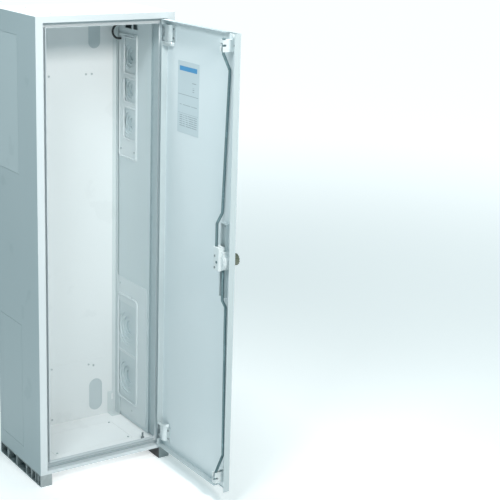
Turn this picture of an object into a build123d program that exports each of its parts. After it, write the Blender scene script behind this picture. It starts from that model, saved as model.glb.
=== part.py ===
"""Floor-standing sheet-steel switchboard cabinet with a hinged door and a rod lock.

Millimetres. The origin is on the floor under the centre of the cabinet body, +Z is up,
+X is to the right and the door opens towards -Y. The door is modelled standing open at a
right angle, which is its rest position, with the lock rods drawn in.
"""

import os

from build123d import *

os.makedirs("parts", exist_ok=True)

# ---- cabinet body ------------------------------------------------------------------
width = 600.0
depth = 400.0
body_height = 1850.0
foot_height = 50.0
foot_width = 50.0
sheet = 1.5

left, right = -width / 2, width / 2
front, back = -depth / 2, depth / 2
body_bottom = foot_height
body_top = foot_height + body_height

# ---- front frame: a flat border, a channel for the door's edge and a rain lip ---------
border_left = 30.0
border_right = 33.0
border_top = 25.0
border_bottom = 15.0
channel_depth = 30.0
channel_left = 16.5
channel_right = 20.5
channel_top = 18.5
channel_bottom = 27.5
lip_height = 17.0
lip_end = 236.0

edge_left, edge_right = left + border_left, right - border_right
edge_bottom, edge_top = body_bottom + border_bottom, body_top - border_top
lip_left, lip_right = edge_left + channel_left + sheet, edge_right - channel_right - sheet
lip_bottom, lip_top = edge_bottom + channel_bottom + sheet, edge_top - channel_top - sheet
channel_base = front + channel_depth
frame_back = channel_base + sheet
lip_front = channel_base - lip_height

# ---- door pan, its hinge axis and where the pan stands when open ---------------------
door_gap = 2.0
hinge_gap = 10.5
door_thickness = 28.0
door_proud = 3.0
axis_offset = 4.75

door_left = edge_left + door_gap
door_right = edge_right - hinge_gap
door_width = door_right - door_left
door_bottom, door_top = edge_bottom + door_gap, edge_top - door_gap
axis_x = door_right + axis_offset
axis_y = front - door_proud + axis_offset

outer_x = axis_x + axis_offset
skin_x = outer_x - sheet
pan_x = outer_x - door_thickness
hinge_edge_y = axis_y - axis_offset
free_edge_y = hinge_edge_y - door_width

# ---- side covers, liners and cable entries -------------------------------------------
cover_gap = 1.2
cover_rim = 8.0
upper_cover = (-30.0, 180.0, body_top - 630.0, body_top - 87.0)
lower_cover = (-33.0, 175.0, body_bottom + 66.0, body_bottom + 594.0)
liner_inset = 42.0
liner_front = -92.0
liner_bottom, liner_top = body_bottom + 22.0, body_top - 20.0
liner_step = 7.0
liner_lead = -166.0
plate_thickness = 2.5
upper_plate = (20.0, 175.0, body_top - 647.0, body_top - 117.0)
upper_windows = [(body_top - low, body_top - high)
                 for low, high in ((284.0, 132.0), (405.0, 302.0), (562.0, 427.0))]
upper_window_y = (25.0, 130.0)
upper_hole_radius = 60.0
upper_hole_y = 92.0
lower_plate = (-75.0, 190.0, body_bottom + 38.0, body_bottom + 669.0)
lower_windows = [(body_bottom + low, body_bottom + high)
                 for low, high in ((112.0, 324.0), (336.0, 558.0))]
lower_window_y = (20.0, 170.0)
lower_hole_radius = 82.0
lower_hole_y = 98.0
grommet_rim = 6.0
grommet_wall = 1.6
grommet_step = 7.0

# ---- floor, roof and rear ------------------------------------------------------------
floor_top = body_bottom + 20.0
floor_flange = 45.0
roof_cover = (-210.0, 210.0, -130.0, 120.0)
floor_cover = (-180.0, 180.0, -90.0, 110.0)
rear_top_plate = (-74.0, 200.0, body_top - 309.0, body_top - 20.0)
rear_bottom_plate = (-80.0, 200.0, body_bottom + 25.0, body_bottom + 295.0)
top_slot = (148.5, body_top - 113.0, 55.0, 146.0)
bottom_slot = (153.0, body_bottom + 123.0, 64.0, 148.0)
insert_gap = 0.3
rail_size = 18.0
rail_wall = 2.0
rail_inset = 3.0
rail_bottom, rail_top = body_bottom + 122.0, body_top - 50.0
bracket_width = 40.0
bracket_depth = 46.0
bracket_wall = 2.5

# ---- hinges --------------------------------------------------------------------------
pin_radius = 2.5
pin_fit = 0.05
knuckle_radius = 4.3
strap_height = 65.0
knuckle_height = 40.0
strap_length = 66.0
strap_thickness = 3.0
strap_hump = 18.0
strap_hump_length = 44.0
lug_gap = 0.4
strap_margin = 1.5
lip_clear = 1.5
upper_strap_z = lip_top - lip_clear - strap_height / 2
lower_strap_z = lip_bottom + lip_clear + strap_height / 2

# ---- lock ----------------------------------------------------------------------------
lock_y = -663.5
lock_z = 1002.0
tooth_module = 2.0
tooth_count = 10
tooth_play = 0.9
pitch_radius = tooth_module * tooth_count / 2
rod_radius = 5.5
upper_rod_offset = 34.0
lower_rod_offset = 21.5
long_offset = 11.0
latch_offset = 42.0
rack_depth = 9.0
rack_back = 5.0
tooth_addendum = 0.9 * tooth_module
tooth_dedendum = 1.2 * tooth_module
rack_root = pitch_radius + tooth_dedendum
rod_line = rack_root + rack_back / 2
spindle_radius = 5.0
spindle_fit = 0.1
case_depth = 15.0
case_width = 36.0
case_bottom, case_top = lock_z - 143.0, lock_z + 148.0
housing_wall = 2.0
housing_clear = 1.0
housing_depth = upper_rod_offset + rod_radius + housing_clear + housing_wall
housing_low, housing_high = 34.0, 58.0
hub_radius = 31.0
hub_shift = 12.0
hub_top = 42.0
knob_radius = 23.5
knob_head = 20.0
knob_neck = 24.0
knob_neck_radius = 12.0
bezel_radius = 27.0
bezel_thickness = 3.0
knob_gap = 0.5
tip_radius = 6.5
tip_length = 5.0
guide_gap = 1.0
guide_wall = 4.0
guide_toe = 20.0
toe_depth = 11.0


def plate_yz(x, y0, y1, z0, z1, thickness):
    """A sheet standing along Y, from x to x + thickness, added to the piece being built."""
    with Locations((x + thickness / 2, (y0 + y1) / 2, (z0 + z1) / 2)):
        Box(thickness, y1 - y0, z1 - z0)


def block(x0, x1, y0, y1, z0, z1, mode=Mode.ADD):
    """A block given by its two corners, added to or cut from the piece being built."""
    with Locations(((x0 + x1) / 2, (y0 + y1) / 2, (z0 + z1) / 2)):
        Box(x1 - x0, y1 - y0, z1 - z0, mode=mode)


def save(piece, name):
    """Label a finished piece and write it to its own file."""
    piece.label = name
    export_step(piece, f"parts/{name}.step")


def save_both(piece, name):
    """Write a piece of the right-hand side and its mirror image on the left."""
    save(piece, f"{name}_right")
    save(mirror(piece, about=Plane.YZ), f"{name}_left")


# ---- foot rails ----------------------------------------------------------------------
# Each rail is a hollow bar under one side; its outer face is open between ribs, and two
# holes through its floor take the bolts that fix the cabinet down.
foot_windows = ((8, 24), (32, 48), (56, 88), (96, 136), (146, 229), (244, 317), (332, 392))
foot_floor = 5.0
foot_pocket = foot_width - 6.0
fixing_x, fixing_y = 275.0, 160.0
fixing_radius = 5.5

with BuildPart() as foot_rail:
    block(right - foot_width, right, front, back, 0, foot_height)
    for start, end in foot_windows:
        block(right - foot_pocket, right, front + start, front + end,
              foot_floor, foot_height - foot_floor, Mode.SUBTRACT)
    fillet(foot_rail.edges().filter_by(Axis.Z).group_by(Axis.Y)[0], 2)
    with BuildSketch():
        with Locations((fixing_x, fixing_y), (fixing_x, -fixing_y)):
            Circle(fixing_radius)
    extrude(amount=foot_floor, mode=Mode.SUBTRACT)
save_both(foot_rail.part, "foot_rail")

# ---- outer side panels with their flush blanking covers ------------------------------
with BuildPart() as side_panel:
    plate_yz(right - sheet, front + sheet, back, body_bottom, body_top - sheet, sheet)
    for y0, y1, z0, z1 in (upper_cover, lower_cover):
        block(right - 2 * sheet, right + sheet, y0 - cover_gap, y1 + cover_gap,
              z0 - cover_gap, z1 + cover_gap, Mode.SUBTRACT)
save_both(side_panel.part, "side_panel")


def blanking_cover(y0, y1, z0, z1):
    """A flush cover with a wider rim that lies against the inside of the side panel."""
    with BuildPart() as cover:
        plate_yz(right - sheet, y0, y1, z0, z1, sheet)
        plate_yz(right - 2 * sheet, y0 - cover_rim, y1 + cover_rim,
                 z0 - cover_rim, z1 + cover_rim, sheet)
    return cover.part


save_both(blanking_cover(*upper_cover), "blanking_cover_upper")
save_both(blanking_cover(*lower_cover), "blanking_cover_lower")

# ---- roof with its cable plate -------------------------------------------------------
roof_x0, roof_x1, roof_y0, roof_y1 = roof_cover
with BuildPart() as roof_panel:
    block(left, right, front + sheet, back, body_top - sheet, body_top)
    block(roof_x0 - cover_gap, roof_x1 + cover_gap, roof_y0 - cover_gap, roof_y1 + cover_gap,
          body_top - 2 * sheet, body_top + sheet, Mode.SUBTRACT)
save(roof_panel.part, "roof_panel")

knockout_radii = (26.0, 17.0, 17.0, 11.0, 11.0)
knockout_spots = ((0, 0), (-90, 30), (90, 30), (-90, -45), (90, -45))
with BuildPart() as roof_plate:
    block(roof_x0, roof_x1, roof_y0, roof_y1, body_top - sheet, body_top)
    block(roof_x0 - cover_rim, roof_x1 + cover_rim, roof_y0 - cover_rim, roof_y1 + cover_rim,
          body_top - 2 * sheet, body_top - sheet)
    for radius, (x, y) in zip(knockout_radii, knockout_spots):
        with BuildSketch(Plane.XY.offset(body_top)):
            with Locations((x, y)):
                Circle(radius)
                Circle(radius - 1.2, mode=Mode.SUBTRACT)
        extrude(amount=-0.7, mode=Mode.SUBTRACT)
save(roof_plate.part, "roof_cable_plate")

# ---- floor: a raised sheet on folded sides that stand on the foot rails --------------
inner_right = right - sheet
floor_x0, floor_x1, floor_y0, floor_y1 = floor_cover
with BuildPart() as floor_panel:
    block(-inner_right, inner_right, frame_back, back - sheet, floor_top - sheet, floor_top)
    for side in (-1, 1):
        outer = side * inner_right
        inner = side * (inner_right - sheet)
        block(min(outer, inner), max(outer, inner), frame_back, back - sheet,
              body_bottom, floor_top)
        inner = side * (inner_right - floor_flange)
        block(min(outer, inner), max(outer, inner), frame_back, back - sheet,
              body_bottom, body_bottom + sheet)
    block(floor_x0 - cover_gap, floor_x1 + cover_gap, floor_y0 - cover_gap,
          floor_y1 + cover_gap, floor_top - 2 * sheet, floor_top + sheet, Mode.SUBTRACT)
save(floor_panel.part, "floor_panel")

with BuildPart() as floor_plate:
    block(floor_x0, floor_x1, floor_y0, floor_y1, floor_top - sheet, floor_top)
    block(floor_x0 - cover_rim, floor_x1 + cover_rim, floor_y0 - cover_rim,
          floor_y1 + cover_rim, floor_top - 2 * sheet, floor_top - sheet)
save(floor_plate.part, "floor_cable_plate")

# ---- rear panel and the two plates screwed inside it ---------------------------------
with BuildPart() as rear_panel:
    block(-inner_right, inner_right, back - sheet, back, body_bottom, body_top - sheet)
save(rear_panel.part, "rear_panel")

rear_face = back - sheet


def slot_sketch(centre_x, centre_z, slot_width, slot_height, shrink=0.0):
    """An upright oblong on the rear wall, drawn on a plane that looks forward."""
    with BuildSketch(Plane.XZ.offset(-rear_face)) as oblong:
        with Locations((centre_x, centre_z)):
            SlotOverall(slot_height - 2 * shrink, slot_width - 2 * shrink, rotation=90)
    return oblong.sketch


def rear_plate(outline, slot):
    """A plate against the rear wall with one oblong cable entry."""
    x0, x1, z0, z1 = outline
    with BuildPart() as plate:
        block(x0, x1, rear_face - sheet, rear_face, z0, z1)
        extrude(slot_sketch(*slot), amount=sheet, mode=Mode.SUBTRACT)
    return plate.part


def rear_insert(slot):
    """A soft oblong insert that fills the entry of a rear plate, thinner in its middle."""
    with BuildPart() as insert:
        extrude(slot_sketch(*slot, shrink=insert_gap), amount=sheet)
        extrude(slot_sketch(*slot, shrink=5.0).moved(Location((0, -sheet, 0))),
                amount=-0.8, mode=Mode.SUBTRACT)
    return insert.part


save(rear_plate(rear_top_plate, top_slot), "rear_plate_upper")
save(rear_plate(rear_bottom_plate, bottom_slot), "rear_plate_lower")
save(Compound(children=[rear_insert(top_slot), rear_insert(bottom_slot)]), "rear_inserts")


# ---- front frame, made as one ring and parted into four welded members ---------------
def ring(outer, inner, y0, y1):
    """A rectangular ring between two heights and widths, from y0 back to y1."""
    block(outer[0], outer[1], y0, y1, outer[2], outer[3])
    block(inner[0], inner[1], y0, y1, inner[2], inner[3], Mode.SUBTRACT)
    return inner


opening = (edge_left, edge_right, edge_bottom, edge_top)
clear = (lip_left, lip_right, lip_bottom, lip_top)
grown_opening = (edge_left - sheet, edge_right + sheet, edge_bottom - sheet, edge_top + sheet)
grown_clear = (lip_left - sheet, lip_right + sheet, lip_bottom - sheet, lip_top + sheet)

with BuildPart() as border_ring:
    ring((left, right, body_bottom, body_top), opening, front, front + sheet)
with BuildPart() as wall_ring:
    ring(grown_opening, opening, front, frame_back)
with BuildPart() as base_ring:
    ring(grown_opening, clear, channel_base, frame_back)
with BuildPart() as lip_ring:
    ring(grown_clear, clear, lip_front, frame_back)

with BuildPart() as frame_ring:
    add(border_ring.part)
    add(wall_ring.part)
    add(base_ring.part)
    add(lip_ring.part)
    block(lip_end, edge_right - 2 * sheet, lip_front - 1, channel_base,
          edge_bottom + sheet, edge_top - sheet, Mode.SUBTRACT)
    front_edges = frame_ring.edges().filter_by_position(Axis.Y, front - 0.01, front + 0.01)
    inner_edges = front_edges.filter_by(
        lambda edge: abs(edge.center().X - (edge_left + edge_right) / 2) < edge_right
        and abs(edge.center().X) < right - 1
        and body_bottom + 1 < edge.center().Z < body_top - 1)
    fillet(inner_edges, 1.2)

frame_cuts = {
    "frame_left": (left, lip_left, body_bottom, body_top),
    "frame_right": (lip_right, right, body_bottom, body_top),
    "frame_top": (lip_left, lip_right, lip_top - 1, body_top),
    "frame_bottom": (lip_left, lip_right, body_bottom, lip_bottom + 1),
}
for name, (x0, x1, z0, z1) in frame_cuts.items():
    with BuildPart() as member:
        add(frame_ring.part)
        block(x0, x1, front, frame_back, z0, z1, Mode.INTERSECT)
    save(member.part, name)

# ---- door gasket: one loop on the channel's base, under the rim of the closed door -----
gasket_width = 8.0
gasket_margin = 0.5
gasket_hinge_margin = 8.5
rim_gap = 0.3
gasket_front = front - door_proud + door_thickness + rim_gap
gasket_outer = (edge_left + gasket_margin, edge_right - gasket_hinge_margin,
                edge_bottom + gasket_margin, edge_top - gasket_margin)
gasket_inner = (gasket_outer[0] + gasket_width, gasket_outer[1] - gasket_width,
                gasket_outer[2] + gasket_width, gasket_outer[3] - gasket_width)
with BuildPart() as gasket:
    ring(gasket_outer, gasket_inner, gasket_front, channel_base)
    fillet(gasket.faces().sort_by(Axis.Y)[0].outer_wire().edges(), 1.2)
save(gasket.part, "door_gasket")

# ---- inner side liners with round entries --------------------------------------------
liner_x = right - liner_inset
liner_back = rear_face - insert_gap
upper_centres = [(z0 + z1) / 2 for z0, z1 in upper_windows]
lower_centres = [(z0 + z1) / 2 for z0, z1 in lower_windows]
top_windows = ((25.0, 62.0), (74.0, 130.0))

with BuildPart() as liner:
    plate_yz(liner_x - sheet, liner_front, liner_back, liner_bottom, liner_top, sheet)
    block(liner_x, liner_x + liner_step, liner_front, liner_front + sheet,
          liner_bottom, liner_top)
    plate_yz(liner_x + liner_step - sheet, liner_lead, liner_front + sheet,
             liner_bottom, liner_top, sheet)
    with BuildSketch(Plane.YZ.offset(liner_x)) as entries:
        for z in upper_centres:
            with Locations((upper_hole_y, z)):
                Circle(upper_hole_radius)
        for z in lower_centres:
            with Locations((lower_hole_y, z)):
                Circle(lower_hole_radius)
        for y0, y1 in top_windows:
            with Locations(((y0 + y1) / 2, body_top - 78)):
                Rectangle(y1 - y0, 36)
    extrude(amount=-sheet, mode=Mode.SUBTRACT)
save_both(liner.part, "side_liner")


def entry_plate(outline, windows, window_y):
    """A raised plate on the liner with rectangular windows, rounded in their corners."""
    y0, y1, z0, z1 = outline
    with BuildPart() as plate:
        with BuildSketch(Plane.YZ.offset(liner_x - sheet)):
            with Locations(((y0 + y1) / 2, (z0 + z1) / 2)):
                RectangleRounded(y1 - y0, z1 - z0, 8)
            for low, high in windows:
                with Locations(((window_y[0] + window_y[1]) / 2, (low + high) / 2)):
                    RectangleRounded(window_y[1] - window_y[0], high - low, 6,
                                     mode=Mode.SUBTRACT)
        extrude(amount=-plate_thickness)
    return plate.part


save_both(entry_plate(upper_plate, upper_windows, upper_window_y), "upper_entry_plate")
save_both(entry_plate(lower_plate, lower_windows, lower_window_y), "lower_entry_plate")


def grommet(centre_y, centre_z, radius):
    """A stepped closed membrane with a rim behind the liner, turned about X."""
    with BuildPart() as membrane:
        with BuildSketch(Plane.XY.offset(centre_z)):
            with BuildLine():
                Polyline(
                    (liner_x, centre_y),
                    (liner_x, centre_y + radius + grommet_rim),
                    (liner_x + grommet_wall, centre_y + radius + grommet_rim),
                    (liner_x + grommet_wall, centre_y + radius * 0.86),
                    (liner_x + grommet_step, centre_y + radius * 0.86),
                    (liner_x + grommet_step, centre_y + radius * 0.62),
                    (liner_x + 2 * grommet_step, centre_y + radius * 0.62),
                    (liner_x + 2 * grommet_step, centre_y + radius * 0.4),
                    (liner_x + 3 * grommet_step, centre_y + radius * 0.4),
                    (liner_x + 3 * grommet_step, centre_y),
                    close=True)
            make_face()
        revolve(axis=Axis((0, centre_y, centre_z), (1, 0, 0)))
        with BuildSketch(Plane.XY.offset(centre_z)):
            with BuildLine():
                Polyline(
                    (liner_x, centre_y),
                    (liner_x, centre_y + radius * 0.86 - grommet_wall),
                    (liner_x + grommet_step - grommet_wall, centre_y + radius * 0.86 - grommet_wall),
                    (liner_x + grommet_step - grommet_wall, centre_y + radius * 0.62 - grommet_wall),
                    (liner_x + 2 * grommet_step - grommet_wall,
                     centre_y + radius * 0.62 - grommet_wall),
                    (liner_x + 2 * grommet_step - grommet_wall,
                     centre_y + radius * 0.4 - grommet_wall),
                    (liner_x + 3 * grommet_step - grommet_wall,
                     centre_y + radius * 0.4 - grommet_wall),
                    (liner_x + 3 * grommet_step - grommet_wall, centre_y),
                    close=True)
            make_face()
        revolve(axis=Axis((0, centre_y, centre_z), (1, 0, 0)), mode=Mode.SUBTRACT)
    return membrane.part


upper_grommets = [grommet(upper_hole_y, z, upper_hole_radius) for z in upper_centres]
lower_grommets = [grommet(lower_hole_y, z, lower_hole_radius) for z in lower_centres]
save_both(Compound(children=upper_grommets), "upper_grommets")
save_both(Compound(children=lower_grommets), "lower_grommets")

# ---- rear corner rails and the floor brackets that carry them ------------------------
rail_x = liner_x - sheet - rail_inset
with BuildPart() as rail:
    block(rail_x - rail_size, rail_x, liner_back - rail_wall, liner_back, rail_bottom, rail_top)
    block(rail_x - rail_wall, rail_x, liner_back - rail_size, liner_back, rail_bottom, rail_top)
save_both(rail.part, "corner_rail")

with BuildPart() as rail_bracket:
    block(rail_x - bracket_width, rail_x, liner_back - bracket_depth, liner_back,
          floor_top, floor_top + bracket_wall)
    block(rail_x - bracket_width, rail_x, liner_back - bracket_wall, liner_back,
          floor_top, rail_bottom)
    block(rail_x - bracket_wall, rail_x, liner_back - bracket_depth, liner_back,
          floor_top, rail_bottom)
    with BuildSketch(Plane.XZ.offset(-liner_back)):
        with Locations((rail_x - bracket_width * 0.45, rail_bottom - 26)):
            SlotOverall(30, 9, rotation=90)
    extrude(amount=bracket_wall, mode=Mode.SUBTRACT)
save_both(rail_bracket.part, "rail_bracket")

# ---- cable loop near the top of the right-hand liner, down to its entry plate ---------
loop_y, loop_z = 160.0, body_top - 114.0
loop_radius = 30.0
loop_wire = 4.5
with BuildPart() as cable_loop:
    with BuildLine() as loop_path:
        loop_start = Line((liner_x - sheet, loop_y, loop_z + loop_radius),
                          (liner_x - sheet - 12, loop_y, loop_z + loop_radius))
        loop_arc = ThreePointArc(loop_start @ 1,
                                 (liner_x - sheet - 12 - loop_radius, loop_y, loop_z),
                                 (liner_x - sheet - 12, loop_y, loop_z - loop_radius))
        Line(loop_arc @ 1, (liner_x - sheet - plate_thickness, loop_y, loop_z - loop_radius))
    with BuildSketch(Plane(origin=loop_start @ 0, z_dir=(-1, 0, 0))):
        Circle(loop_wire)
    sweep(path=loop_path.wires()[0])
save(cable_loop.part, "cable_loop")

# ---- hinges: bracket and pin on the frame, strap on the door --------------------------
pin_overrun = 2.0


def hinge_bracket(centre_z):
    """Two lugs on a plate that is screwed to the wall of the frame's channel."""
    half_knuckle = knuckle_height / 2 + lug_gap
    half_strap = strap_height / 2 - lug_gap
    with BuildPart() as bracket:
        block(edge_right - strap_thickness, edge_right, front + 8, channel_base - 2,
              centre_z - half_strap, centre_z + half_strap)
        for low, high in ((-half_strap, -half_knuckle), (half_knuckle, half_strap)):
            block(axis_x - 2, edge_right, axis_y, channel_base - 2,
                  centre_z + low, centre_z + high)
            with BuildSketch(Plane.XY.offset(centre_z + low)):
                with Locations((axis_x, axis_y)):
                    Circle(knuckle_radius)
            extrude(amount=high - low)
        with BuildSketch(Plane.XY.offset(centre_z - half_strap)):
            with Locations((axis_x, axis_y)):
                Circle(pin_radius + pin_fit)
        extrude(amount=2 * half_strap, mode=Mode.SUBTRACT)
    return bracket.part


def hinge_pin(centre_z):
    """A plain pin that reaches just past both lugs, rounded at its ends."""
    length = strap_height + 2 * pin_overrun
    with BuildPart() as pin:
        with BuildSketch(Plane.XY.offset(centre_z - length / 2)):
            with Locations((axis_x, axis_y)):
                Circle(pin_radius)
        extrude(amount=length)
        chamfer(pin.edges().filter_by(GeomType.CIRCLE), 0.5)
    return pin.part


def hinge_strap(centre_z):
    """A knuckle, a hump that curves round it and a flat tail on the door's inner face."""
    tail_y = hinge_edge_y - strap_length
    with BuildPart() as strap:
        with BuildSketch(Plane.XY.offset(centre_z - knuckle_height / 2)):
            with Locations((axis_x, axis_y)):
                Circle(knuckle_radius)
            with Locations((skin_x - strap_thickness / 2, (axis_y + hinge_edge_y - 4) / 2)):
                Rectangle(strap_thickness, axis_y - hinge_edge_y + 4)
        extrude(amount=knuckle_height)
        block(skin_x - strap_thickness, skin_x, tail_y, hinge_edge_y,
              centre_z - strap_height / 2, centre_z + strap_height / 2)
        with BuildSketch(Plane.XY.offset(centre_z - strap_height / 2)):
            with BuildLine():
                hump = ThreePointArc((skin_x - 5, hinge_edge_y),
                                     (skin_x - strap_hump, hinge_edge_y - strap_hump_length / 2),
                                     (skin_x - strap_thickness, hinge_edge_y - strap_hump_length))
                Polyline(hump @ 1, (skin_x, hinge_edge_y - strap_hump_length),
                         (skin_x, hinge_edge_y), hump @ 0)
            make_face()
        extrude(amount=strap_height)
        with BuildSketch(Plane.XY.offset(centre_z - strap_height / 2)):
            with Locations((axis_x, axis_y)):
                Circle(pin_radius + pin_fit)
        extrude(amount=strap_height, mode=Mode.SUBTRACT)
    return strap.part


for place, strap_z in (("upper", upper_strap_z), ("lower", lower_strap_z)):
    save(hinge_bracket(strap_z), f"hinge_bracket_{place}")
    save(hinge_strap(strap_z), f"hinge_strap_{place}")
save(Compound(children=[hinge_pin(upper_strap_z), hinge_pin(lower_strap_z)]), "hinge_pins")

# ---- door pan ------------------------------------------------------------------------
latch_notch = 72.0
notch_step = 4.0
with BuildPart() as door_pan:
    block(pan_x, outer_x, free_edge_y, hinge_edge_y, door_bottom, door_top)
    fillet(door_pan.faces().sort_by(Axis.X)[-1].edges(), 2.5)
    block(pan_x - 1, skin_x, free_edge_y + sheet, hinge_edge_y - sheet,
          door_bottom + sheet, door_top - sheet, Mode.SUBTRACT)
    for strap_z in (upper_strap_z, lower_strap_z):
        relief = strap_height / 2 + strap_margin
        block(pan_x - 1, skin_x, hinge_edge_y - 2 * sheet, hinge_edge_y + 1,
              strap_z - relief, strap_z + relief, Mode.SUBTRACT)
        knuckle_relief = knuckle_height / 2 + strap_margin
        block(pan_x - 1, outer_x + 1, hinge_edge_y - 0.5, hinge_edge_y + 1,
              strap_z - knuckle_relief, strap_z + knuckle_relief, Mode.SUBTRACT)
    for z0, z1 in ((door_bottom - 1, door_bottom + 2 * sheet), (door_top - 2 * sheet, door_top + 1)):
        block(pan_x - 1, skin_x - notch_step, free_edge_y + sheet,
              free_edge_y + latch_notch, z0, z1, Mode.SUBTRACT)
    with BuildSketch(Plane.YZ.offset(outer_x)):
        with Locations((lock_y, lock_z)):
            Circle(spindle_radius + spindle_fit)
    extrude(amount=-2 * sheet, mode=Mode.SUBTRACT)
save(door_pan.part, "door_panel")

# ---- label card on the inside of the door --------------------------------------------
label_width, label_height = 158.0, 284.0
label_y, label_z = -369.0, body_top - 318.0
with BuildPart() as label_card:
    with BuildSketch(Plane.YZ.offset(skin_x)):
        with Locations((label_y, label_z)):
            RectangleRounded(label_width, label_height, 2)
    extrude(amount=-0.6)
save(label_card.part, "label_card")

# ---- lock case: an open channel on the door that the rods run along -------------------
spindle_clear = 8.0
with BuildPart() as lock_case:
    block(skin_x - case_depth, skin_x, lock_y - case_width / 2, lock_y + case_width / 2,
          case_bottom, case_top)
    block(skin_x - case_depth - 1, skin_x - sheet, lock_y - case_width / 2 + sheet,
          lock_y + case_width / 2 - sheet, case_bottom + sheet, case_top - sheet, Mode.SUBTRACT)
    with BuildSketch(Plane.YZ.offset(skin_x)):
        with Locations((lock_y, lock_z)):
            Circle(spindle_clear)
    extrude(amount=-2 * sheet, mode=Mode.SUBTRACT)
save(lock_case.part, "lock_case")

# ---- gear housing: a block over the pinion and upper rack beside a lower round hub ------
cover_x = skin_x - housing_depth
hub_depth = lower_rod_offset + rod_radius + housing_clear + housing_wall
hub_x = skin_x - hub_depth
housing_near = lock_y - pitch_radius - tooth_module - housing_clear - housing_wall
housing_far = lock_y + rod_line + rod_radius + housing_clear + housing_wall
rack_slot = lock_y - rod_line - rod_radius - housing_clear
case_side = case_width / 2 + 0.3
housing_bottom, housing_top = lock_z - housing_low, lock_z + housing_high
with BuildPart() as housing:
    block(cover_x, skin_x, housing_near, housing_far, housing_bottom, housing_top)
    fillet(housing.faces().sort_by(Axis.X)[0].edges(), 1.8)
    with BuildSketch(Plane.YZ.offset(hub_x)):
        with Locations((lock_y - hub_shift, lock_z)):
            Circle(hub_radius)
    extrude(amount=hub_depth)
    block(hub_x, skin_x, lock_y - hub_shift - hub_radius / 2, lock_y, lock_z, lock_z + hub_top)
    block(cover_x + housing_wall, skin_x + 1, housing_near + housing_wall, housing_far - housing_wall,
          housing_bottom - 1, housing_top - housing_wall, Mode.SUBTRACT)
    block(hub_x + housing_wall, skin_x + 1, rack_slot, lock_y, housing_bottom - 1,
          lock_z + hub_top - housing_wall, Mode.SUBTRACT)
    block(skin_x - case_depth - 0.5, skin_x + 1, lock_y - case_side, lock_y + case_side,
          housing_bottom - 1, housing_top + 1, Mode.SUBTRACT)
    with BuildSketch(Plane.YZ.offset(cover_x)):
        with Locations((lock_y, lock_z)):
            Circle(spindle_radius + spindle_fit)
    extrude(amount=housing_wall, mode=Mode.SUBTRACT)
    with BuildSketch(Plane.XY.offset(housing_top)):
        with Locations((skin_x - upper_rod_offset, lock_y + rod_line)):
            Circle(rod_radius + 0.5)
    extrude(amount=-housing_wall, mode=Mode.SUBTRACT)
save(housing.part, "gear_housing")

# ---- pinion on its spindle ------------------------------------------------------------
pinion_x0 = skin_x - upper_rod_offset - rod_radius
pinion_x1 = skin_x - lower_rod_offset + rod_radius
spindle_in, spindle_out = cover_x - 1.5, outer_x + bezel_thickness + knob_gap + 6
tooth_pitch = tooth_module * 3.14159265
root_radius = pitch_radius - tooth_dedendum
tip_circle = pitch_radius + tooth_addendum
tooth_root_half = (tooth_pitch / 2 - tooth_play) / 2 + 0.75
tooth_tip_half = (tooth_pitch / 2 - tooth_play) / 2 - 0.65

with BuildPart() as pinion:
    with BuildSketch(Plane.YZ.offset(pinion_x0)):
        with Locations((lock_y, lock_z)):
            Circle(root_radius)
            with PolarLocations(0, tooth_count):
                Polygon((root_radius - 1, -tooth_root_half), (tip_circle, -tooth_tip_half),
                        (tip_circle, tooth_tip_half), (root_radius - 1, tooth_root_half),
                        align=None)
    extrude(amount=pinion_x1 - pinion_x0)
    with BuildSketch(Plane.YZ.offset(spindle_in)):
        with Locations((lock_y, lock_z)):
            Circle(spindle_radius)
    extrude(amount=spindle_out - spindle_in)
save(pinion.part, "lock_pinion")

# ---- racks ----------------------------------------------------------------------------
rack_tip = pitch_radius - tooth_addendum
upper_rack_low, upper_rack_high = lock_z - 30.0, lock_z + 39.0
lower_rack_low, lower_rack_high = lock_z - 39.0, lock_z + 30.0


def rack(side, offset, low, high, first, count):
    """A toothed bar beside the pinion; side is +1 towards the hinges and -1 away."""
    x0 = skin_x - offset - rack_depth / 2
    with BuildPart() as bar:
        with BuildSketch(Plane.YZ.offset(x0)):
            with Locations((lock_y + side * (rack_root + rack_back / 2), (low + high) / 2)):
                Rectangle(rack_back, high - low)
            for index in range(first, first + count):
                z = lock_z + (index + 0.5) * tooth_pitch
                with BuildLine():
                    Polyline((lock_y + side * (rack_root + 1), z - tooth_root_half),
                             (lock_y + side * rack_tip, z - tooth_tip_half),
                             (lock_y + side * rack_tip, z + tooth_tip_half),
                             (lock_y + side * (rack_root + 1), z + tooth_root_half), close=True)
                make_face()
        extrude(amount=rack_depth)
    return bar.part


save(rack(1, upper_rod_offset, upper_rack_low, upper_rack_high, -4, 6), "upper_rack")
save(rack(-1, lower_rod_offset, lower_rack_low, lower_rack_high, -2, 6), "lower_rack")

# ---- lock rods: long bars cranked towards the door and away again at their latch ends --
upper_rod_y = lock_y + rod_line
lower_rod_y = lock_y - rod_line
upper_latch_y, lower_latch_y = -678.0, -693.0
upper_tip_z = lip_top - 6.5
lower_tip_z = lip_bottom + 6.5
crank_radius = 14.0

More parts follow.
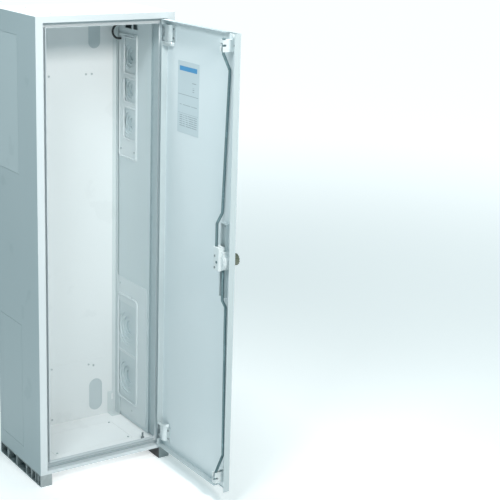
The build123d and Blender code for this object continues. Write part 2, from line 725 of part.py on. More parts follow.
upper_route = [
    (skin_x - upper_rod_offset, upper_rod_y, upper_rack_high),
    (skin_x - upper_rod_offset, upper_rod_y, lock_z + 148.0),
    (skin_x - long_offset, upper_rod_y, lock_z + 186.0),
    (skin_x - long_offset, upper_latch_y + 2, upper_tip_z - 114.5),
    (skin_x - latch_offset, upper_latch_y, upper_tip_z - 52.5),
    (skin_x - latch_offset, upper_latch_y, upper_tip_z),
]
lower_route = [
    (skin_x - lower_rod_offset, lower_rod_y, lower_rack_low),
    (skin_x - lower_rod_offset, lower_rod_y, lock_z - 152.0),
    (skin_x - long_offset, lower_rod_y - 7, lock_z - 178.0),
    (skin_x - long_offset, lower_latch_y, lower_tip_z + 109.5),
    (skin_x - latch_offset, lower_latch_y, lower_tip_z + 43.5),
    (skin_x - latch_offset, lower_latch_y, lower_tip_z),
]


def lock_rod(route):
    """A round bar along a route of straight runs joined by bends of one radius."""
    direction = 1 if route[1][2] > route[0][2] else -1
    with BuildPart() as rod:
        with BuildLine() as path:
            FilletPolyline(*route, radius=crank_radius)
        with BuildSketch(Plane(origin=route[0], z_dir=(0, 0, direction))):
            Circle(rod_radius)
        sweep(path=path.wires()[0])
    return rod.part


def latch_tip(x, y, z, direction):
    """A rounded cap on the end of a rod."""
    with BuildPart() as tip:
        with BuildSketch(Plane(origin=(x, y, z), z_dir=(0, 0, direction))):
            Circle(tip_radius)
        extrude(amount=tip_length)
        fillet(tip.edges().filter_by(GeomType.CIRCLE), 1.5)
    return tip.part


save(lock_rod(upper_route), "upper_rod")
save(lock_rod(lower_route), "lower_rod")
save(latch_tip(*upper_route[-1], 1), "upper_latch_tip")
save(latch_tip(*lower_route[-1], -1), "lower_latch_tip")

# ---- rod guides: two cheeks beside the crank and a bored shelf at the latch end --------
guide_length = 44.0
shelf_height = 11.0


def rod_guide(y, tip_z, direction):
    """A guide on the door's inner face; direction is +1 at the top and -1 at the bottom."""
    x = skin_x - latch_offset
    cheek = rod_radius + guide_gap
    end = tip_z - direction * 1.0
    start = end - direction * guide_length
    shelf = end - direction * shelf_height
    low, high = min(start, end), max(start, end)
    with BuildPart() as guide:
        for side in (-1, 1):
            inner, outer = y + side * cheek, y + side * (cheek + guide_wall)
            block(x - 9, skin_x, min(inner, outer), max(inner, outer), low, high)
        block(x - 9, skin_x, y - cheek, y + cheek, min(shelf, end), max(shelf, end))
        toe = end + direction * guide_toe
        block(skin_x - toe_depth, skin_x, y - cheek - guide_wall, y + cheek + guide_wall,
              min(toe, end), max(toe, end))
        waist = end - direction * (shelf_height + 9)
        block(x - 10, x + 5, y - 2 * cheek, y + 2 * cheek, waist - 4, waist + 4, Mode.SUBTRACT)
        block(skin_x - 3, skin_x, y - cheek - guide_wall - 5, y + cheek + guide_wall + 5, low, high)
        with BuildSketch(Plane.XY.offset(min(shelf, end) - 1)):
            with Locations((x, y)):
                Circle(rod_radius + spindle_fit)
        extrude(amount=shelf_height + 2, mode=Mode.SUBTRACT)
    return guide.part


save(rod_guide(upper_latch_y, upper_tip_z, 1), "rod_guide_upper")
save(rod_guide(lower_latch_y, lower_tip_z, -1), "rod_guide_lower")

# ---- knob and its bezel on the outside of the door ------------------------------------
grip_count = 12
with BuildPart() as bezel:
    with BuildSketch(Plane.YZ.offset(outer_x)):
        with Locations((lock_y, lock_z)):
            Circle(bezel_radius)
            Circle(spindle_radius + 0.5, mode=Mode.SUBTRACT)
    extrude(amount=bezel_thickness)
    fillet(bezel.edges().filter_by(GeomType.CIRCLE).sort_by(Axis.X)[-1], 1)
save(bezel.part, "knob_bezel")

knob_x = outer_x + bezel_thickness + knob_gap
head_x = knob_x + knob_neck
with BuildPart() as knob:
    with BuildSketch(Plane.YZ.offset(knob_x)):
        with Locations((lock_y, lock_z)):
            Circle(knob_neck_radius)
    extrude(amount=knob_neck)
    with BuildSketch(Plane.YZ.offset(head_x)):
        with Locations((lock_y, lock_z)):
            Circle(knob_radius)
            with PolarLocations(knob_radius + 2.2, grip_count):
                Circle(4, mode=Mode.SUBTRACT)
    extrude(amount=knob_head)
    fillet(knob.faces().sort_by(Axis.X)[-1].edges(), 1.2)
    with BuildSketch(Plane.YZ.offset(head_x + knob_head)):
        with Locations((lock_y, lock_z)):
            Rectangle(6, 2 * knob_radius - 12)
    extrude(amount=-3, mode=Mode.SUBTRACT)
    with BuildSketch(Plane.YZ.offset(knob_x)):
        with Locations((lock_y, lock_z)):
            Circle(spindle_radius + pin_fit)
    extrude(amount=spindle_out - knob_x, mode=Mode.SUBTRACT)
save(knob.part, "knob")

# ---- screws and studs -----------------------------------------------------------------
screw_radius = 4.5
screw_head = 2.6


def screw(origin, outward, radius=screw_radius):
    """A pan head with a cross recess, seated on a surface that faces outward."""
    with BuildPart() as head:
        with BuildSketch(Plane(origin=origin, z_dir=outward)):
            Circle(radius)
        extrude(amount=screw_head)
        fillet(head.edges().sort_by(Axis(origin, outward))[-1], 1.0)
        with BuildSketch(Plane(origin=origin, z_dir=outward).offset(screw_head)):
            Rectangle(radius, 1.0)
            Rectangle(1.0, radius)
        extrude(amount=-1.2, mode=Mode.SUBTRACT)
    return head.part


plate_face = liner_x - sheet - plate_thickness
wall_screws = [((side * plate_face, y, z), (-side, 0, 0))
               for side in (-1, 1)
               for y, z in ((50, lower_plate[3] - 72), (45, lower_plate[2] + 39),
                             (155, lower_plate[3] - 29), (155, upper_plate[2] + 37),
                             (40, upper_plate[2] + 37))]
rear_plate_face = rear_face - sheet
rear_screws = [((x, rear_plate_face, z), (0, -1, 0))
               for x, z in ((109, rear_top_plate[2] + 17), (136, rear_top_plate[2] + 17),
                            (-60, rear_top_plate[2] + 17), (185, rear_top_plate[3] - 15),
                            (118, rear_bottom_plate[3] - 25), (142, rear_bottom_plate[3] - 33),
                            (-60, rear_bottom_plate[3] - 15), (-60, rear_bottom_plate[2] + 20))]
roof_screws = [((x, y, body_top), (0, 0, 1))
               for x in (roof_x0 + 14, 0, roof_x1 - 14) for y in (roof_y0 + 14, roof_y1 - 14)]
floor_screws = [((x, y, floor_top), (0, 0, 1))
                for x in (floor_x0 + 12, floor_x1 - 12) for y in (floor_y0 + 12, floor_y1 - 12)]
bracket_screws = [((edge_right - strap_thickness, front + 19, z + shift), (-1, 0, 0))
                  for z in (upper_strap_z, lower_strap_z) for shift in (-10, 10)]
cabinet_screws = [screw(origin, outward) for origin, outward in
                  wall_screws + rear_screws + roof_screws + floor_screws]
cabinet_screws += [screw(origin, outward, 3.4) for origin, outward in bracket_screws]
save(Compound(children=cabinet_screws), "cabinet_screws")

strap_face = skin_x - strap_thickness
door_fixings = [((strap_face, hinge_edge_y - along, z + shift), (-1, 0, 0))
                for z in (upper_strap_z, lower_strap_z)
                for along, shift in ((55, 18), (55, -18))]
guide_screw_side = rod_radius + guide_gap + guide_wall + 2.7
guide_screws = [((strap_face, y + side * guide_screw_side, z), (-1, 0, 0))
                for y, z in ((upper_latch_y, upper_tip_z - 23), (lower_latch_y, lower_tip_z + 23))
                for side in (-1, 1)]
case_screws = [((skin_x - sheet, lock_y, z), (-1, 0, 0)) for z in (case_bottom + 12, case_top - 12)]
cover_screw_y = (lock_y + housing_far) / 2
case_screws += [((cover_x, cover_screw_y, lock_z + shift), (-1, 0, 0)) for shift in (-23, 23)]
door_screws = [screw(origin, outward) for origin, outward in door_fixings + case_screws]
door_screws += [screw(origin, outward, 2.4) for origin, outward in guide_screws]
save(Compound(children=door_screws), "door_screws")

stud_x, stud_y = 215.0, -120.0
with BuildPart() as earth_stud:
    with BuildSketch(Plane.XY.offset(floor_top)):
        with Locations((stud_x, stud_y)):
            Circle(4)
    extrude(amount=26)
    with BuildSketch(Plane.XY.offset(floor_top)):
        with Locations((stud_x, stud_y)):
            RegularPolygon(8, 6)
    extrude(amount=6)
save(earth_stud.part, "earth_stud")
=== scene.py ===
import math

import bpy
import numpy as np
from mathutils import Matrix, Vector


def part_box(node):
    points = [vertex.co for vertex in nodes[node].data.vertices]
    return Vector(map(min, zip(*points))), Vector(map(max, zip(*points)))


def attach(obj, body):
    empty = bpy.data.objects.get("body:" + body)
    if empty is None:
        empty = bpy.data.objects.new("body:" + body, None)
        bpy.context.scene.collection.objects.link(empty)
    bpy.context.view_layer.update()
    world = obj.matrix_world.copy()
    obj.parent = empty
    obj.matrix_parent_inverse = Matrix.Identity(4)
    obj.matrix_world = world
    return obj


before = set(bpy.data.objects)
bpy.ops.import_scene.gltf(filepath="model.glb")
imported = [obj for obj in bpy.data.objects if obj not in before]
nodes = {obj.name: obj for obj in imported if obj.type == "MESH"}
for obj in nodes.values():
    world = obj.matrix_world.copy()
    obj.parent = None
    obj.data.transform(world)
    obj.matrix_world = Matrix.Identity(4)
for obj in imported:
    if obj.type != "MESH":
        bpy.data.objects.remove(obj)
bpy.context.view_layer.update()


# ---- Painted sheet ---------------------------------------------------------------------
# The body, its frame and its door are folded steel sheet under a baked powder coat.
# The coat has a fine orange-peel grain, small changes of tone and a cool off-white colour.
class Wire:
    """A node socket that builds Math nodes from Python operators."""

    def __init__(self, sheet, socket):
        self.sheet, self.socket = sheet, socket

    def _math(self, operation, *values):
        return self.sheet.node("ShaderNodeMath", {"operation": operation}, dict(enumerate(values)))

    def __add__(self, other):
        return self._math("ADD", self, other)

    def __sub__(self, other):
        return self._math("SUBTRACT", self, other)

    def __rsub__(self, other):
        return self._math("SUBTRACT", other, self)

    def __mul__(self, other):
        return self._math("MULTIPLY", self, other)

    def __truediv__(self, other):
        return self._math("DIVIDE", self, other)

    __radd__, __rmul__ = __add__, __mul__

    def above(self, edge, soft):
        """0 below the edge and 1 above it, changing smoothly over the given width."""
        settings = {"interpolation_type": "SMOOTHSTEP"}
        values = {0: self, 1: edge - soft / 2, 2: edge + soft / 2}
        return self.sheet.node("ShaderNodeMapRange", settings, values)


class Finish:
    """A material that is written as Python expressions and ends in one Principled shader."""

    def __init__(self, name):
        self.material = bpy.data.materials.new(name)
        self.material.use_nodes = True
        self.tree = self.material.node_tree
        self.shader = self.tree.nodes["Principled BSDF"]
        self.place = self.node("ShaderNodeTexCoord", output="Object")

    def node(self, kind, settings=None, values=None, output=0):
        """Any node: its settings first, then the values or links of its sockets."""
        made = self.tree.nodes.new(kind)
        for key, value in (settings or {}).items():
            setattr(made, key, value)
        for key, value in (values or {}).items():
            if isinstance(value, Wire):
                self.tree.links.new(value.socket, made.inputs[key])
            else:
                made.inputs[key].default_value = value
        return Wire(self, made.outputs[output])

    def noise(self, scale, detail=3.0, stretch=(1, 1, 1)):
        """Cloudy noise of a scale per metre, drawn out along an axis by the stretch."""
        spot = self.node("ShaderNodeMapping", {}, {"Vector": self.place, "Scale": stretch})
        return self.node("ShaderNodeTexNoise", {}, {"Vector": spot, "Scale": scale, "Detail": detail})

    def axis(self, name):
        """One coordinate of the point, in metres."""
        return self.node("ShaderNodeSeparateXYZ", {}, {0: self.place}, output="XYZ".index(name))

    def blend(self, share, first, second):
        """The first colour where the share is 0 and the second where it is 1."""
        values = {"Factor": share, 6: first, 7: second}
        return self.node("ShaderNodeMix", {"data_type": "RGBA"}, values, output=2)

    def set(self, **inputs):
        """Sets or links the shader's own sockets."""
        for key, value in inputs.items():
            socket = self.shader.inputs[key.replace("_", " ")]
            if isinstance(value, Wire):
                self.tree.links.new(value.socket, socket)
            else:
                socket.default_value = value
        return self.material

    def bump(self, height, distance, strength=1.0):
        """A normal that follows a height, whose full range is the distance in metres."""
        values = {"Height": height, "Distance": distance, "Strength": strength}
        return self.node("ShaderNodeBump", {}, values)


def tone(red, green, blue):
    """A colour given by its three linear parts."""
    return (red, green, blue, 1.0)


peel_scale, peel_detail, peel_depth = 900.0, 2.0, 0.00006
cloud_scale, cloud_detail = 2.3, 4.0


def painted(name, colour, shade, rough, peel=peel_depth):
    """Powder coat: two tones mixed by slow clouds, under a fine orange-peel grain."""
    coat = Finish(name)
    clouds = coat.noise(cloud_scale, cloud_detail)
    grain = coat.noise(peel_scale, peel_detail)
    scuffs = coat.noise(7.0, 6.0).above(0.66, 0.05)
    colour_wire = coat.blend(clouds * 0.9, colour, shade)
    colour_wire = coat.blend(scuffs * 0.18, colour_wire, tone(*[part * 0.86 for part in shade[:3]]))
    return coat.set(
        Base_Color=colour_wire,
        Roughness=rough + 0.10 * grain + 0.08 * scuffs - 0.05,
        Normal=coat.bump(grain, peel),
    )


def dress(finish, *names):
    """Puts a finish on every CAD node whose name starts with one of these words."""
    for key, piece in nodes.items():
        if key.startswith(names):
            piece.data.materials.clear()
            piece.data.materials.append(finish)


body_paint = painted("body_powder_coat", tone(0.62, 0.665, 0.68), tone(0.58, 0.63, 0.65), 0.42)
dress(body_paint, "roof_panel", "roof_cable", "frame_")
# The side panels and the blanking covers have the body's coat, but painted darker and bluer than it as
# painted shade on the cabinet's sides.
side_paint_shaded = painted("side_coat_painted_shade", tone(0.38, 0.46, 0.48), tone(0.355, 0.435, 0.458), 0.42)
dress(side_paint_shaded, "side_panel", "blanking_cover_lower")
cover_paint_shaded = painted("cover_coat_painted_shade", tone(0.44, 0.52, 0.54), tone(0.41, 0.49, 0.51), 0.42)
dress(cover_paint_shaded, "blanking_cover_upper")
liner_paint = painted("liner_powder_coat", tone(0.78, 0.815, 0.82), tone(0.74, 0.785, 0.795), 0.45)
# The floor panel and its cable plate are painted paler than the other inside sheet as painted light, for
# the light falling on the floor from above.
floor_paint_lit = painted("floor_coat_painted_light", tone(0.90, 0.92, 0.925), tone(0.86, 0.885, 0.89), 0.5)
dress(floor_paint_lit, "floor_panel", "floor_cable")
dress(liner_paint, "rear_panel", "rear_plate")
entry_paint = painted("entry_plate_coat", tone(0.70, 0.755, 0.765), tone(0.66, 0.72, 0.735), 0.42)
dress(entry_paint, "upper_entry", "lower_entry")

# ---- Door pan and lock channel ---------------------------------------------------------
# The pan is one folded sheet. Its flat inner face is smooth and bright. The folded return flanges round it
# are painted darker as painted shade for the pan's corners, and the lock channel gets the same darker
# tone.
door_coat = Finish("door_powder_coat")
door_grain = door_coat.noise(peel_scale, peel_detail)
door_clouds = door_coat.noise(cloud_scale, cloud_detail)
pan_low, pan_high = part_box("door_panel")
face_depth, face_edge = 0.0022, 0.0006
# Painted shade: below the face depth the pan's return flanges and the lock channel take a darker tone.
shaded_return_mask = 1 - door_coat.axis("X").above(pan_high.x - face_depth, face_edge)
door_face = door_coat.blend(door_clouds, tone(0.69, 0.755, 0.775), tone(0.65, 0.72, 0.745))
door_return_shade = door_coat.blend(door_clouds, tone(0.50, 0.57, 0.585), tone(0.47, 0.54, 0.555))
dress(door_coat.set(Base_Color=door_coat.blend(shaded_return_mask, door_face, door_return_shade),
                    Roughness=0.34 + 0.1 * door_grain,
                    Normal=door_coat.bump(door_grain, peel_depth)), "door_panel", "lock_case")

# ---- Side liners -----------------------------------------------------------------------
# Each liner is painted sheet whose front strip steps back behind the frame. The strip is painted a darker
# blue-grey than the face as painted shade, for the shaded reveal behind the frame.
liner_coat = Finish("side_liner_coat")
liner_grain = liner_coat.noise(peel_scale, peel_detail)
liner_step_y, step_edge = -0.0915, 0.0006
liner_front_shaded = 1 - liner_coat.axis("Y").above(liner_step_y, step_edge)
liner_clouds = liner_coat.noise(cloud_scale, cloud_detail)
liner_colour = liner_coat.blend(liner_clouds, tone(0.64, 0.71, 0.725), tone(0.60, 0.675, 0.69))
# Painted shade: the stepped front strip takes this darker blue-grey tone.
reveal_shade_colour = liner_coat.blend(liner_coat.noise(60.0, 4.0), tone(0.42, 0.50, 0.52), tone(0.50, 0.58, 0.60))
dress(liner_coat.set(Base_Color=liner_coat.blend(liner_front_shaded, liner_colour, reveal_shade_colour),
                     Roughness=0.42 + 0.1 * liner_grain - 0.06 * liner_front_shaded,
                     Normal=liner_coat.bump(liner_grain, peel_depth)), "side_liner")

# ---- Foot rails ------------------------------------------------------------------------
# Two hollow rails carry the cabinet, in a darker grey coat that collects dust and scuffs.
# Their fronts are rubbed pale by handling, and their inner faces are painted near-black as painted shade.
foot_coat = Finish("foot_rail_coat")
foot_grain = foot_coat.noise(420.0, 3.0)
foot_wear = foot_coat.noise(38.0, 6.0).above(0.58, 0.12)
rubbed_front_y, rubbed_fade = -0.19, 0.02
foot_front = 1 - foot_coat.axis("Y").above(rubbed_front_y, rubbed_fade)
foot_colour = foot_coat.blend(foot_wear, tone(0.20, 0.235, 0.24), tone(0.34, 0.38, 0.385))
foot_colour = foot_coat.blend(foot_front * 0.75, foot_colour, tone(0.36, 0.40, 0.405))
foot_across = foot_coat.node("ShaderNodeMath", {"operation": "ABSOLUTE"}, {0: foot_coat.axis("X")})
# Painted shade: where the rail lies nearer the middle than this, it is painted near-black.
shaded_face_x, shade_edge = 0.251, 0.001
foot_colour = foot_coat.blend(foot_across.above(shaded_face_x, shade_edge), tone(0.022, 0.026, 0.028),
                              foot_colour)
dress(foot_coat.set(Base_Color=foot_colour, Roughness=0.48 + 0.2 * foot_grain,
                    Normal=foot_coat.bump(foot_grain, 0.00012)), "foot_rail")

# ---- Plated steel ----------------------------------------------------------------------
# The rods and racks are drawn bar with a blue-grey zinc plate, streaked along their length.
# Brackets and straps are pale cast zinc; the screws are darker and more worn.


def plated(name, pale, dark, rough, stretch):
    """Zinc plate: streaks drawn along the bar, spangle patches and rubbed bright spots."""
    plate = Finish(name)
    streaks = plate.noise(160.0, 5.0, stretch)
    spangle = plate.node("ShaderNodeTexVoronoi", {}, {"Vector": plate.place, "Scale": 210.0})
    rubbed = plate.noise(26.0, 5.0).above(0.6, 0.1)
    colour = plate.blend(streaks * 0.7 + 0.3 * spangle, dark, pale)
    colour = plate.blend(rubbed * 0.4, colour, tone(*[min(1.0, part * 1.15) for part in pale[:3]]))
    return plate.set(
        Base_Color=colour, Metallic=0.85, Roughness=rough + 0.18 * streaks - 0.08 * rubbed,
        Normal=plate.bump(streaks + 0.5 * spangle, 0.00004))


rod_plate = plated("rod_zinc_plate", tone(0.22, 0.32, 0.34), tone(0.11, 0.17, 0.185), 0.34, (1, 1, 0.04))
dress(rod_plate, "upper_rod", "lower_rod", "upper_rack", "lower_rack", "lock_pinion",
      "upper_latch", "lower_latch")
bracket_cast = plated("bracket_cast_zinc", tone(0.80, 0.85, 0.86), tone(0.62, 0.68, 0.69), 0.38, (1, 1, 1))
dress(bracket_cast, "hinge_bracket", "hinge_strap")
rail_zinc = painted("rail_zinc_coat", tone(0.66, 0.72, 0.73), tone(0.58, 0.65, 0.66), 0.40)
dress(rail_zinc, "rail_bracket", "corner_rail")
wall_screw = plated("wall_screw_zinc", tone(0.66, 0.72, 0.73), tone(0.42, 0.47, 0.48), 0.36, (1, 1, 1))
dress(wall_screw, "cabinet_screws")
screw_steel = plated("screw_steel", tone(0.40, 0.45, 0.46), tone(0.18, 0.20, 0.21), 0.34, (1, 1, 1))
dress(screw_steel, "door_screws", "hinge_pins", "earth_stud")

# ---- Plastic and rubber ----------------------------------------------------------------
# Moulded parts: the cable membranes, slot inserts, lock housing, rod guides and knob.
# The door seal is soft foam and the cable loop has a smooth dark sheath.


def moulded(name, colour, shade, rough, texture=0.00008, scale=700.0):
    """Moulded plastic: spark-eroded grain with slow tone changes and slight shine marks."""
    plastic = Finish(name)
    grain = plastic.noise(scale, 2.0)
    clouds = plastic.noise(9.0, 3.0)
    shine = plastic.noise(31.0, 4.0).above(0.62, 0.15)
    return plastic.set(
        Base_Color=plastic.blend(clouds, colour, shade),
        Roughness=rough + 0.15 * grain - 0.08 * shine,
        Normal=plastic.bump(grain, texture))


dress(moulded("membrane_plastic", tone(0.66, 0.73, 0.745), tone(0.59, 0.67, 0.69), 0.5),
      "upper_grommets", "lower_grommets")
dress(moulded("insert_plastic", tone(0.55, 0.62, 0.64), tone(0.47, 0.55, 0.57), 0.55), "rear_inserts")
housing_plastic = moulded("lock_housing_plastic", tone(0.67, 0.72, 0.73), tone(0.61, 0.67, 0.68), 0.4)
dress(housing_plastic, "gear_housing", "rod_guide")
dress(moulded("knob_plastic", tone(0.17, 0.19, 0.14), tone(0.12, 0.14, 0.105), 0.38), "knob")
dress(moulded("seal_foam", tone(0.47, 0.54, 0.56), tone(0.40, 0.47, 0.49), 0.85, 0.0003, 1600.0),
      "door_gasket")
dress(moulded("cable_sheath", tone(0.022, 0.026, 0.028), tone(0.014, 0.017, 0.018), 0.42), "cable_loop")

# ---- Rims of the entry plates ----------------------------------------------------------
# The cable entry plates inside both sides are painted sheet. A half-round bead runs round
# each upper plate and its three windows, and the two meet along the front edge. A flatter
# bead frames the lower plate's two windows, in paint close to the plates' own. Known fault:
# that lower bead runs through the rail bracket and some screws.


def grid_mesh(name, points, finish, body):
    """A closed skin over a grid of points that joins up in both directions.

    points[i, j] is the point at row i of the path and place j of the section. Both run
    round and meet themselves, so the skin has no open edge. A path that ends elsewhere
    than it starts is closed by a straight run from its last section to its first.
    """
    rows, columns = points.shape[:2]
    row, column = np.meshgrid(np.arange(rows), np.arange(columns), indexing="ij")
    after, beside = (row + 1) % rows, (column + 1) % columns
    quads = np.stack([row * columns + column, after * columns + column,
                      after * columns + beside, row * columns + beside], axis=-1).reshape(-1, 4)
    flat = points.reshape(-1, 3)
    around = points - points.mean(axis=1, keepdims=True)
    corners = flat[quads]
    facing = np.cross(corners[:, 2] - corners[:, 0], corners[:, 3] - corners[:, 1])
    if np.sum(facing * around.reshape(-1, 3)) < 0:
        quads = quads[:, ::-1]
    skin = bpy.data.meshes.new(name)
    skin.from_pydata(flat.tolist(), [], quads.tolist())
    skin.polygons.foreach_set("use_smooth", np.ones(len(quads), dtype=bool))
    skin.materials.append(finish)
    piece = bpy.data.objects.new(name, skin)
    bpy.context.scene.collection.objects.link(piece)
    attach(piece, body)
    return piece


def bead(name, centre, ways, size, corner, section, finish, body):
    """A half-round bead along a rounded rectangle that lies on a face.

    With a round the corners and s round the section, a point is
    corner centre + (corner + width / 2 * cos s) * (cos a, sin a), and it stands
    height * max(sin s, -foot_share) off the face, so that its flat foot is sunk a little
    into it. ways are the two directions along the face. Where the corner is half the
    size, as on a ring, the four straight sides have no length.
    """
    along, upward = np.array(ways[0], float), np.array(ways[1], float)
    width, height = section
    corner_points, section_points, foot_share = 9, 16, 0.1
    quarter = np.linspace(0, math.pi / 2, corner_points)
    turn = np.concatenate([quarter + step * math.pi / 2 for step in range(4)])
    side_x = np.repeat([1, -1, -1, 1], corner_points) * (size[0] / 2 - corner)
    side_y = np.repeat([1, 1, -1, -1], corner_points) * (size[1] / 2 - corner)
    around = np.linspace(0, 2 * math.pi, section_points, endpoint=False)
    reach = corner + width / 2 * np.cos(around)
    rise = height * np.maximum(np.sin(around), -foot_share)
    first = side_x[:, None] + np.outer(np.cos(turn), reach)
    second = side_y[:, None] + np.outer(np.sin(turn), reach)
    points = (np.array(centre) + first[..., None] * along + second[..., None] * upward
              + rise[:, None] * np.cross(along, upward))
    return grid_mesh(name, points, finish, body)


rim_paint = painted("entry_rim_coat", tone(0.68, 0.735, 0.75), tone(0.64, 0.70, 0.715), 0.40)
rim_inset, rim_corner, rim_section = 0.006, 0.012, (0.008, 0.004)
window_y, upper_windows = (0.025, 0.130), ((1.616, 1.768), (1.495, 1.598), (1.338, 1.473))
lower_frame_y, lower_frame_z = (0.006, 0.172), (0.160, 0.640)
lower_frame_corner, lower_frame_section = 0.018, (0.012, 0.005)
for hand, inward in (("right", -1), ("left", 1)):
    ways = ((0, 1, 0), (0, 0, inward))
    low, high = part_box(f"upper_entry_plate_{hand}")
    plate_x = low.x if inward < 0 else high.x
    rims = {"edge": ((low.y + rim_inset, high.y - rim_inset), (low.z + rim_inset, high.z - rim_inset))}
    for number, window_z in enumerate(upper_windows):
        rims[f"window_{number}"] = (window_y, window_z)
    for label, (rim_y, rim_z) in rims.items():
        bead(f"upper_entry_{label}_{hand}", (plate_x, sum(rim_y) / 2, sum(rim_z) / 2), ways,
             (rim_y[1] - rim_y[0], rim_z[1] - rim_z[0]), rim_corner, rim_section, rim_paint,
             "cabinet")
    low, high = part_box(f"lower_entry_plate_{hand}")
    plate_x = low.x if inward < 0 else high.x
    bead(f"lower_entry_frame_{hand}", (plate_x, sum(lower_frame_y) / 2, sum(lower_frame_z) / 2), ways,
         (lower_frame_y[1] - lower_frame_y[0], lower_frame_z[1] - lower_frame_z[0]),
         lower_frame_corner, lower_frame_section, rim_paint, "cabinet")

# ---- Hinge arms ------------------------------------------------------------------------
# A curved arm of cast zinc stands in the pan's corner beside each strap, from near the
# hinge-side return to near the skin. It is modelled about 2 mm clear of strap, return and skin.


def curved_arm(name, start, end, middle_z, depth, height, finish):
    """A bar along a quarter of an ellipse from the start to the end, seen from above.

    With t from 0 to 90 degrees, x = end.x + (start.x - end.x) * cos t and
    y = start.y + (end.y - start.y) * sin t. The section is a superellipse of power 4,
    which shrinks to the tip share at both ends; grid_mesh joins the two tips by a straight
    run of that small section.
    """
    path_points, section_points, tip_share = 40, 24, 0.02
    swing = np.linspace(0, math.pi / 2, path_points)
    path = np.stack([end[0] + (start[0] - end[0]) * np.cos(swing),
                     start[1] + (end[1] - start[1]) * np.sin(swing)], axis=-1)
    run = np.gradient(path, axis=0)
    run /= np.linalg.norm(run, axis=1, keepdims=True)
    normal = np.stack([run[:, 1], -run[:, 0]], axis=-1)
    round_way = np.linspace(0, 2 * math.pi, section_points, endpoint=False)
    across_way = np.sign(np.cos(round_way)) * np.abs(np.cos(round_way)) ** 0.5 * depth / 2
    up_way = np.sign(np.sin(round_way)) * np.abs(np.sin(round_way)) ** 0.5 * height / 2
    swell = np.concatenate([[tip_share], np.ones(path_points - 2), [tip_share]])[:, None]
    spots = path[:, None, :] + (across_way * swell)[..., None] * normal[:, None, :]
    points = np.concatenate([spots, (middle_z + up_way * swell)[..., None]], axis=-1)
    return grid_mesh(name, points, finish, "door")


arm_reach, arm_gap, arm_height, arm_depth = 0.055, 0.009, 0.014, 0.004
edge_gap, skin_gap = 0.0035, 0.0032
for level, beside in (("upper", -1), ("lower", 1)):
    low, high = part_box(f"hinge_strap_{level}")
    strap_edge = high.z if beside > 0 else low.z
    curved_arm(f"hinge_arm_{level}", (pan_low.x + edge_gap, pan_high.y - edge_gap),
               (pan_high.x - skin_gap, pan_high.y - edge_gap - arm_reach),
               strap_edge + beside * arm_gap, arm_depth, arm_height, bracket_cast)

# ---- Rings on the gear housing ---------------------------------------------------------
# The round hub of the gear housing is moulded with two raised rings about its own centre.
# Known fault: each ring is whole, so inside the block beside the hub both run through the
# pinion, and the outer one through the upper rack.
hub_y, hub_z, hub_face_x = -0.6755, 1.002, 0.2345
ring_section = (0.004, 0.0025)
for ring, radius in (("outer", 0.0235), ("inner", 0.012)):
    bead(f"hub_{ring}_ring", (hub_face_x, hub_y, hub_z), ((0, 1, 0), (0, 0, -1)),
         (2 * radius, 2 * radius), radius, ring_section, housing_plastic, "door")

# ---- Label card ------------------------------------------------------------------------
# A printed card stuck inside the door: a pale silver-blue ground with a plain blue block at
# the head and rows of thin ruled lines, which stand for small print and carry no lettering.
card = Finish("printed_card")
card_low, card_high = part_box("label_card")
across = (card.axis("Y") - card_low.y) / (card_high.y - card_low.y)
up = (card.axis("Z") - card_low.z) / (card_high.z - card_low.z)


def band(value, low, high, soft=0.004):
    """1 between two edges and 0 outside them."""
    return value.above(low, soft) * (1 - value.above(high, soft))


card_rows = card.node("ShaderNodeMath", {"operation": "FRACT"}, {0: up * 34})
card_words = card.noise(90.0, 1.0, (1, 1, 0.15)).above(0.42, 0.08)
small_print = band(card_rows, 0.34, 0.66, 0.1) * card_words
paragraph = band(across, 0.08, 0.90) * (band(up, 0.08, 0.255) + 0.8 * band(up, 0.375, 0.405))
figures = band(across, 0.10, 0.32) * band(up, 0.70, 0.73) + band(across, 0.22, 0.30) * band(up, 0.60, 0.66)
heading = band(across, 0.10, 0.92) * band(up, 0.865, 0.93)
rule = band(across, 0.03, 0.97) * (band(up, 0.535, 0.542, 0.002) + 0.6 * band(up, 0.275, 0.281, 0.002))
card_grain = card.noise(500.0, 2.0)
card_colour = card.blend(card.noise(5.0), tone(0.54, 0.625, 0.655), tone(0.50, 0.59, 0.625))
card_colour = card.blend(small_print * (paragraph + figures) * 0.8, card_colour, tone(0.16, 0.22, 0.26))
card_colour = card.blend(rule * 0.85, card_colour, tone(0.18, 0.25, 0.29))
card_colour = card.blend(heading * 0.95, card_colour, tone(0.035, 0.26, 0.52))
dress(card.set(Base_Color=card_colour, Roughness=0.34 + 0.1 * card_grain,
               Normal=card.bump(card_grain, 0.00002)), "label_card")

# ---- Floor, light and camera -----------------------------------------------------------
# A plain pale studio floor and soft light. The camera stands to the front left, a little
# above the cabinet.
floor_finish = Finish("studio_floor")
floor_grain = floor_finish.noise(3.0, 4.0)
floor_reach = floor_finish.node("ShaderNodeVectorMath", {"operation": "LENGTH"},
                                {0: floor_finish.place}, output=1)
glow_reach, glow_fade = 4.5, 7.0
floor_glow = floor_finish.blend(floor_reach.above(glow_reach, glow_fade), tone(0.36, 0.37, 0.37),
                                tone(0.95, 0.95, 0.95))
floor_finish.set(
    Base_Color=floor_finish.blend(floor_grain, tone(0.93, 0.94, 0.94), tone(0.90, 0.915, 0.92)),
    Roughness=0.75 + 0.1 * floor_grain, Emission_Color=floor_glow, Emission_Strength=1.0)
span = 40.0
floor_mesh = bpy.data.meshes.new("studio_floor")
floor_mesh.from_pydata([(-span, -span, 0), (span, -span, 0), (span, span, 0), (-span, span, 0)], [],
                       [(0, 1, 2, 3)])
floor_mesh.materials.append(floor_finish.material)
studio_floor = bpy.data.objects.new("studio_floor", floor_mesh)
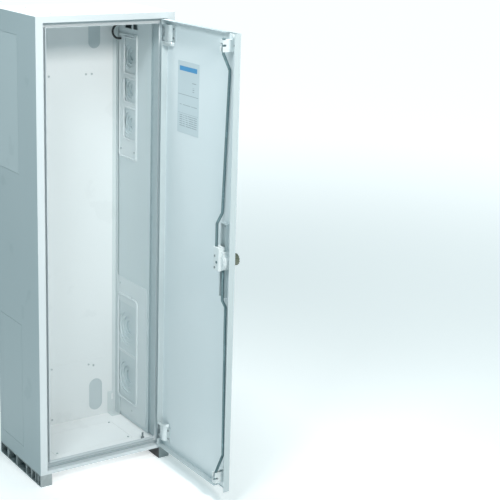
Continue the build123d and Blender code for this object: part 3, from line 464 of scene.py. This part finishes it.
bpy.context.scene.collection.objects.link(studio_floor)

world = bpy.data.worlds.new("studio")
world.use_nodes = True
world.node_tree.nodes["Background"].inputs["Color"].default_value = tone(0.15, 0.85, 1.0)
world.node_tree.nodes["Background"].inputs["Strength"].default_value = 0.16
bpy.context.scene.world = world


def softbox(name, place, target, size, power, tint=(1.0, 1.0, 1.0)):
    """An area light aimed at a point, with its sides in metres and its power in watts."""
    light = bpy.data.lights.new(name, "AREA")
    light.shape, light.size, light.size_y = "RECTANGLE", size[0], size[1]
    light.energy, light.color = power, tint
    lamp = bpy.data.objects.new(name, light)
    lamp.location = place
    lamp.rotation_euler = (Vector(target) - Vector(place)).to_track_quat("-Z", "Y").to_euler()
    bpy.context.scene.collection.objects.link(lamp)


softbox("front_softbox", (-0.2, -4.2, 3.5), (0, 0.1, 0.9), (0.8, 0.8), 128, (1.0, 0.95, 0.92))
softbox("high_left_softbox", (-1.6, -1.6, 3.4), (0.2, -0.1, 0.9), (0.8, 0.8), 40, (0.92, 0.98, 1.0))
softbox("roof_softbox", (0.0, 0.05, 3.3), (0, 0.05, 1.0), (0.5, 0.3), 45)

bpy.context.scene.view_settings.view_transform = "Standard"
bpy.context.scene.view_settings.exposure = 0.0

eye = Vector((-2.352, -4.654, 2.417))
yaw, pitch, roll = math.radians(34.30), math.radians(14.48), math.radians(1.70)
look = Vector((math.sin(yaw) * math.cos(pitch), math.cos(yaw) * math.cos(pitch), -math.sin(pitch)))
level = Vector((math.cos(yaw), -math.sin(yaw), 0))
above = level.cross(look)
side = math.cos(roll) * level + math.sin(roll) * above
upright = -math.sin(roll) * level + math.cos(roll) * above
camera_data = bpy.data.cameras.new("camera")
camera_data.sensor_width = 36.0
camera_data.lens = 93.8
camera_data.shift_y = -0.07
camera_data.clip_end = 200
camera = bpy.data.objects.new("camera", camera_data)
camera.matrix_world = Matrix.Translation(eye) @ Matrix((side, upright, -look)).transposed().to_4x4()
bpy.context.scene.collection.objects.link(camera)
bpy.context.scene.camera = camera
